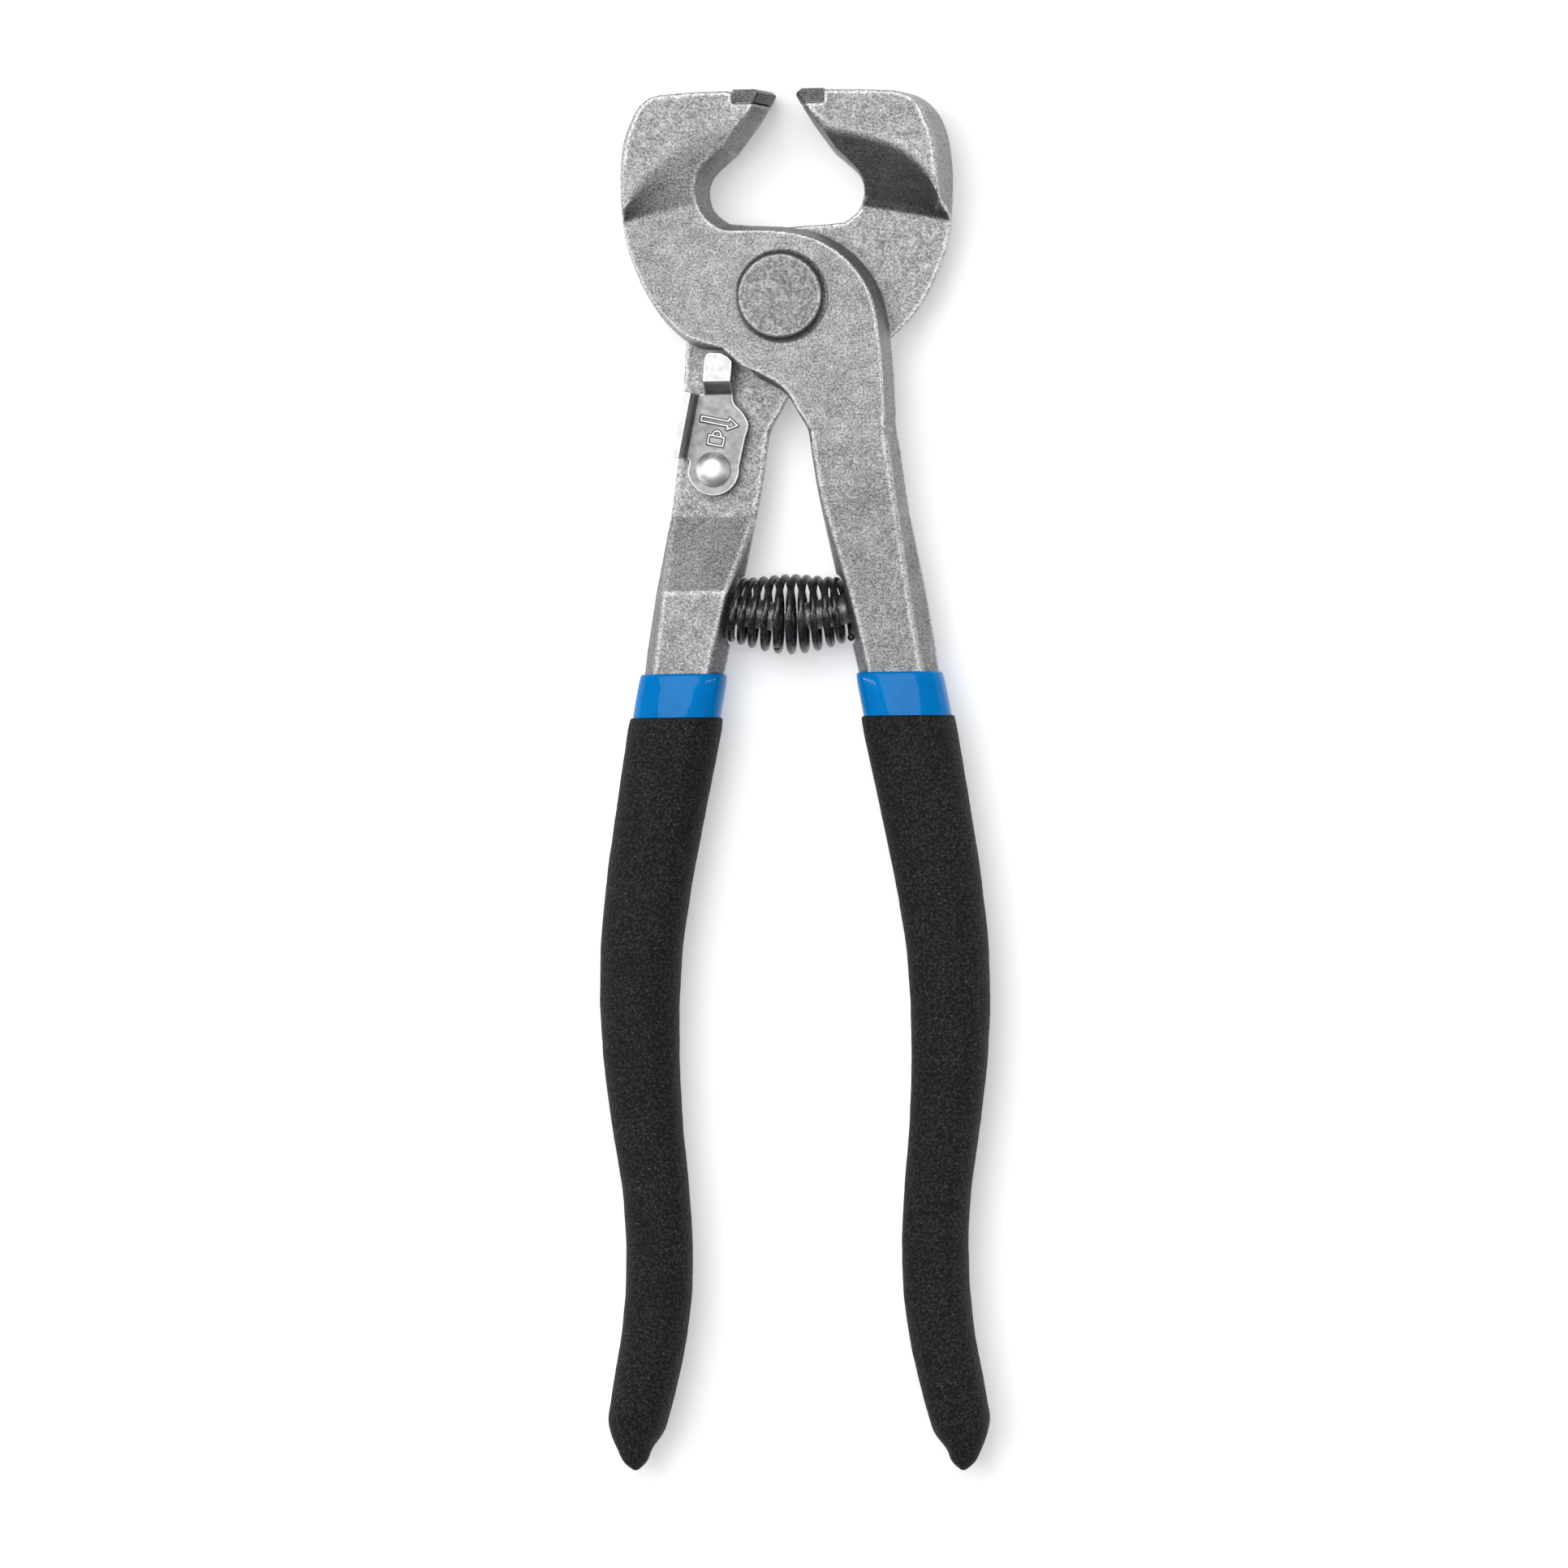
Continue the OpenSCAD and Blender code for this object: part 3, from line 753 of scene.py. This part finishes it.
def sleeve_mesh(name, node, lip, blur, crisp):
    """A smooth sleeve on the measured radii, with a rolled top lip.

    lip is the lip's radius, blur the smoothing along the sleeve in samples, and
    crisp the number of samples at each end that are smoothed less.
    """
    line, ahead, radii = measure_sleeve(node)
    around = np.concatenate([radii[:, -3:], radii, radii[:, :3]], axis=1).T
    radii = smoothed(around, 2)[3:-3].T
    wide = smoothed(radii, blur)
    narrow = smoothed(radii, 2)
    index = np.arange(len(radii))
    inside = np.clip(np.minimum(index, index[::-1]) / crisp - 1, 0, 1)[:, None]
    radii = narrow + (wide - narrow) * inside
    turn = np.linspace(0, 2 * math.pi, GRIP_SIDES, endpoint=False)
    points = []

    def add_ring(centre, forward, row):
        for a, r in zip(turn, row):
            points.append((centre[0] - r * math.cos(a) * forward[1],
                           centre[1] + r * math.cos(a) * forward[0], r * math.sin(a)))

    add_ring(line[0] - ahead[0] * 0.1 * MM, ahead[0], radii[0] * 0.45)
    for centre, forward, row in zip(line, ahead, radii):
        add_ring(centre, forward, row)
    for a in (15, 35, 55, 75, 90):
        rise = lip * math.sin(math.radians(a))
        inward = lip * (1 - math.cos(math.radians(a)))
        add_ring(line[-1] + ahead[-1] * rise, ahead[-1], radii[-1] - inward)
    return mesh_from(name, points, ring_faces(len(points) // GRIP_SIDES, GRIP_SIDES))


def roughen(mesh, depth):
    """Small swells along the normals, as on a dipped skin."""
    for vertex in mesh.vertices:
        swell = noise.noise(vertex.co / (2.2 * MM)) + 0.5 * noise.noise(vertex.co / (0.9 * MM))
        vertex.co += vertex.normal * depth * swell
    mesh.update()


def make_grip(side, body):
    """Foam sleeve with a rolled mouth and the drip that dipping leaves at its end."""
    mesh = sleeve_mesh(side + "_grip_foam", side + "_grip", 0.4 * MM, 12, 17)
    roughen(mesh, 0.045 * MM)
    add_piece(side + "_grip_foam", mesh, body, MATERIALS["black_foam"],
              [side + "_grip"])


def make_liner(side, body):
    """Vinyl layer: the glossy collar with a rounded top lip, running on under the foam."""
    mesh = sleeve_mesh(side + "_collar_vinyl", side + "_grip_liner", 0.5 * MM, 3, 3)
    add_piece(side + "_collar_vinyl", mesh, body, MATERIALS["blue_vinyl"],
              [side + "_grip_liner"])


# --- studio --------------------------------------------------------------------------
FLOOR_REACH = 3.0                  # large enough to fill level views too


def make_floor():
    bottom = cad_box[0][2]
    corners = [(x * FLOOR_REACH, y * FLOOR_REACH, bottom)
               for x, y in ((-1, -1), (1, -1), (1, 1), (-1, 1))]
    floor = bpy.data.objects.new("floor", mesh_from("floor", corners, [(0, 1, 2, 3)]))
    bpy.context.scene.collection.objects.link(floor)
    finish = Finish("floor", Roughness=0.9, Specular_IOR_Level=0.1, Emission_Strength=0.3)
    finish.shader.inputs["Emission Color"].default_value = (1, 1, 1, 1)
    finish.shader.inputs["Base Color"].default_value = (0.93, 0.93, 0.93, 1)
    floor.data.materials.append(finish.material)


def add_softbox(name, place, aim, size, power):
    data = bpy.data.lights.new(name, "AREA")
    data.shape = "RECTANGLE"
    data.size, data.size_y = size
    data.energy = power
    light = bpy.data.objects.new(name, data)
    bpy.context.scene.collection.objects.link(light)
    light.location = place
    direction = Vector(aim) - Vector(place)
    light.rotation_euler = direction.to_track_quat("-Z", "Y").to_euler()


def make_studio():
    make_floor()
    aim = (0, -0.07, 0)
    add_softbox("overhead", (-0.12, 0.18, 1.0), aim, (0.85, 0.85), 8.9)
    add_softbox("left_strip", (-0.85, -0.1, 0.42), aim, (0.02, 0.9), 2.0)
    add_softbox("right_strip", (0.9, -0.1, 0.42), aim, (0.02, 0.9), 1.6)
    world = bpy.data.worlds.new("studio")
    world.use_nodes = True
    world.node_tree.nodes["Background"].inputs["Color"].default_value = (1, 1, 1, 1)
    world.node_tree.nodes["Background"].inputs["Strength"].default_value = 0.22
    bpy.context.scene.world = world
    bpy.context.scene.view_settings.view_transform = "Standard"


make_camera()
make_studio()
make_forgings()
for carbide_node in ("front_carbide", "rear_carbide"):
    finish_node(carbide_node, "carbide", 0.12 * MM)
for braze_node in ("front_braze", "rear_braze"):
    finish_node(braze_node, "braze", 0.02 * MM)
finish_node("lock_washer", "plated_steel", 0.1 * MM)
make_pivot_rivet()
make_lock_rivet()
make_lock_lever()
make_spring()
for grip_side, grip_body in (("left", "rear_half"), ("right", "front_half")):
    make_grip(grip_side, grip_body)
    make_liner(grip_side, grip_body)
